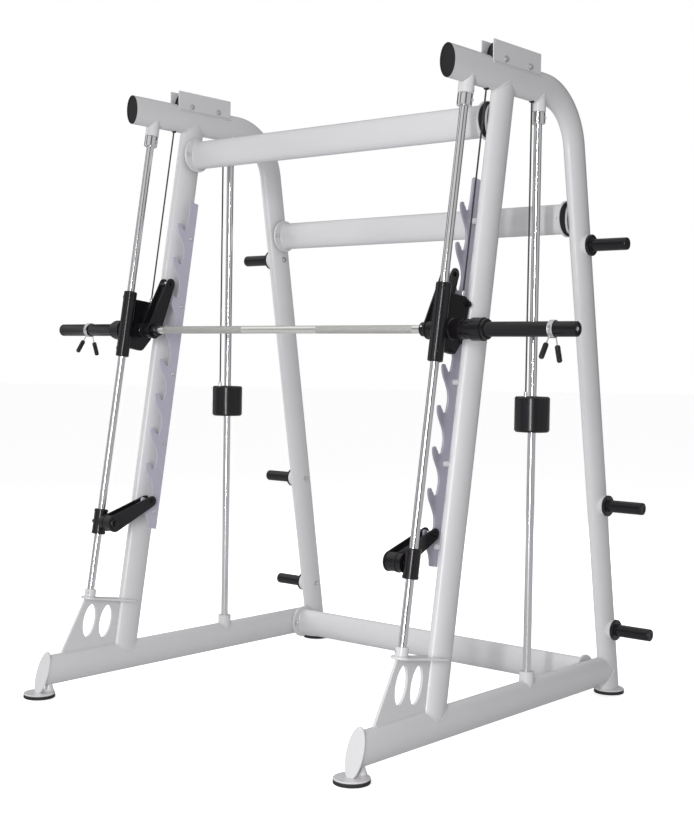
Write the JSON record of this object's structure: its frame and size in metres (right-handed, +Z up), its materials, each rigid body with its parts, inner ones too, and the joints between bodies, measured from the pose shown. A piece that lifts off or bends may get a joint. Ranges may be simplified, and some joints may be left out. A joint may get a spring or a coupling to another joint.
{
  "type": "smith machine",
  "caption": "Free-standing smith machine: a barbell guided on leaning rods between oval-tube side frames, with hook racks, safety stops, counterweights and plate pegs.",
  "frame": {"origin": "centre of the footprint on the floor", "axes": "X along the bar, -Y towards the user at the front, +Z up"},
  "size_m": [2.433, 1.644, 2.3155],
  "materials": {
    "frame_paint": "warm light grey powder coat with a fine texture",
    "rack_paint": "lavender-grey powder coat",
    "black_paint": "black satin paint",
    "black_plastic": "matt black moulding",
    "rubber": "matt black rubber",
    "chrome": "polished hard chrome",
    "knurled_steel": "satin steel with knurled grips",
    "cable": "black nylon-coated wire rope"
  },
  "bodies": {
    "frame": {"base_rail_left": "frame_paint", "front_upright_left": "frame_paint", "rear_arch_left": "frame_paint", "rod_shelf_left": "frame_paint", "top_end_cap_left": "black_plastic", "front_foot_pad_left": "rubber", "rear_foot_pad_left": "rubber", "guide_rod_left": "chrome", "weight_rod_left": "chrome", "guide_rod_collar_left": "chrome", "weight_rod_collar_left": "chrome", "hook_rack_left": "rack_paint", "pulley_bracket_left": "frame_paint", "upper_plate_peg_left": "black_paint", "middle_plate_peg_left": "black_paint", "lower_plate_peg_left": "black_paint", "bar_cable_left": "cable", "top_cable_left": "cable", "weight_cable_left": "cable", "safety_stop_left": "black_paint", "base_rail_right": "frame_paint", "front_upright_right": "frame_paint", "rear_arch_right": "frame_paint", "rod_shelf_right": "frame_paint", "top_end_cap_right": "black_plastic", "front_foot_pad_right": "rubber", "rear_foot_pad_right": "rubber", "guide_rod_right": "chrome", "weight_rod_right": "chrome", "guide_rod_collar_right": "chrome", "weight_rod_collar_right": "chrome", "hook_rack_right": "rack_paint", "pulley_bracket_right": "frame_paint", "upper_plate_peg_right": "black_paint", "middle_plate_peg_right": "black_paint", "lower_plate_peg_right": "black_paint", "bar_cable_right": "cable", "top_cable_right": "cable", "weight_cable_right": "cable", "safety_stop_right": "black_paint", "upper_front_crossbar": "frame_paint", "upper_rear_crossbar": "frame_paint", "lower_rear_crossbar": "frame_paint"},
    "carriages": {"carriage_left": "black_paint", "carriage_right": "black_paint"},
    "bar": {"bar": "knurled_steel", "bar_hook_left": "black_paint", "bar_hook_right": "black_paint"},
    "sleeve_left": {"sleeve_left": "black_paint"},
    "clip_left": {"spring_clip_left": "black_plastic"},
    "weight_left": {"counterweight_left": "black_paint"},
    "front_pulley_left": {"front_pulley_left": "black_plastic"},
    "rear_pulley_left": {"rear_pulley_left": "black_plastic"},
    "stop_hook_left": {"stop_hook_left": "black_paint"},
    "sleeve_right": {"sleeve_right": "black_paint"},
    "clip_right": {"spring_clip_right": "black_plastic"},
    "weight_right": {"counterweight_right": "black_paint"},
    "front_pulley_right": {"front_pulley_right": "black_plastic"},
    "rear_pulley_right": {"rear_pulley_right": "black_plastic"},
    "stop_hook_right": {"stop_hook_right": "black_paint"}
  },
  "joints": [
    {"name": "bar_lift", "type": "slide", "parent": "frame", "child": "carriages", "axis": [0, 0.158, 0.9874], "range_m": [-0.554, 0.475], "deforming": ["bar_cable_left", "bar_cable_right"]},
    {"name": "bar_turn", "type": "hinge", "parent": "carriages", "child": "bar", "pos_m": [0, -0.3061, 1.3583], "axis": [1, 0, 0], "range_deg": [-15.3, 60]},
    {"name": "sleeve_spin_left", "type": "hinge", "parent": "bar", "child": "sleeve_left", "pos_m": [-1, -0.3061, 1.3583], "axis": [1, 0, 0], "continuous": true},
    {"name": "clip_slide_left", "type": "slide", "parent": "sleeve_left", "child": "clip_left", "axis": [1, 0, 0], "range_m": [-0.155, 0.13]},
    {"name": "weight_slide_left", "type": "slide", "parent": "frame", "child": "weight_left", "axis": [0, 0, 1], "range_m": [-0.475, 0.554], "deforming": ["weight_cable_left"]},
    {"name": "front_pulley_turn_left", "type": "hinge", "parent": "frame", "child": "front_pulley_left", "pos_m": [-0.75, -0.063, 2.2555], "axis": [1, 0, 0], "continuous": true},
    {"name": "rear_pulley_turn_left", "type": "hinge", "parent": "frame", "child": "rear_pulley_left", "pos_m": [-0.75, 0.0835, 2.2555], "axis": [1, 0, 0], "continuous": true},
    {"name": "stop_swing_left", "type": "hinge", "parent": "frame", "child": "stop_hook_left", "pos_m": [-0.75, -0.4901, 0.6245], "axis": [1, 0, 0], "range_deg": [0, 24]},
    {"name": "sleeve_spin_right", "type": "hinge", "parent": "bar", "child": "sleeve_right", "pos_m": [1, -0.3061, 1.3583], "axis": [1, 0, 0], "continuous": true},
    {"name": "clip_slide_right", "type": "slide", "parent": "sleeve_right", "child": "clip_right", "axis": [1, 0, 0], "range_m": [-0.215, 0.07]},
    {"name": "weight_slide_right", "type": "slide", "parent": "frame", "child": "weight_right", "axis": [0, 0, 1], "range_m": [-0.475, 0.554], "deforming": ["weight_cable_right"]},
    {"name": "front_pulley_turn_right", "type": "hinge", "parent": "frame", "child": "front_pulley_right", "pos_m": [0.75, -0.063, 2.2555], "axis": [1, 0, 0], "continuous": true},
    {"name": "rear_pulley_turn_right", "type": "hinge", "parent": "frame", "child": "rear_pulley_right", "pos_m": [0.75, 0.0835, 2.2555], "axis": [1, 0, 0], "continuous": true},
    {"name": "stop_swing_right", "type": "hinge", "parent": "frame", "child": "stop_hook_right", "pos_m": [0.75, -0.4901, 0.6245], "axis": [1, 0, 0], "range_deg": [0, 24]}
  ],
  "couplings": [
    {"joint": "weight_slide_left", "follows": "bar_lift", "ratio": -1},
    {"joint": "front_pulley_turn_left", "follows": "bar_lift", "rad_per_m": -18.18},
    {"joint": "rear_pulley_turn_left", "follows": "bar_lift", "rad_per_m": -18.18},
    {"joint": "weight_slide_right", "follows": "bar_lift", "ratio": -1},
    {"joint": "front_pulley_turn_right", "follows": "bar_lift", "rad_per_m": -18.18},
    {"joint": "rear_pulley_turn_right", "follows": "bar_lift", "rad_per_m": -18.18}
  ]
}
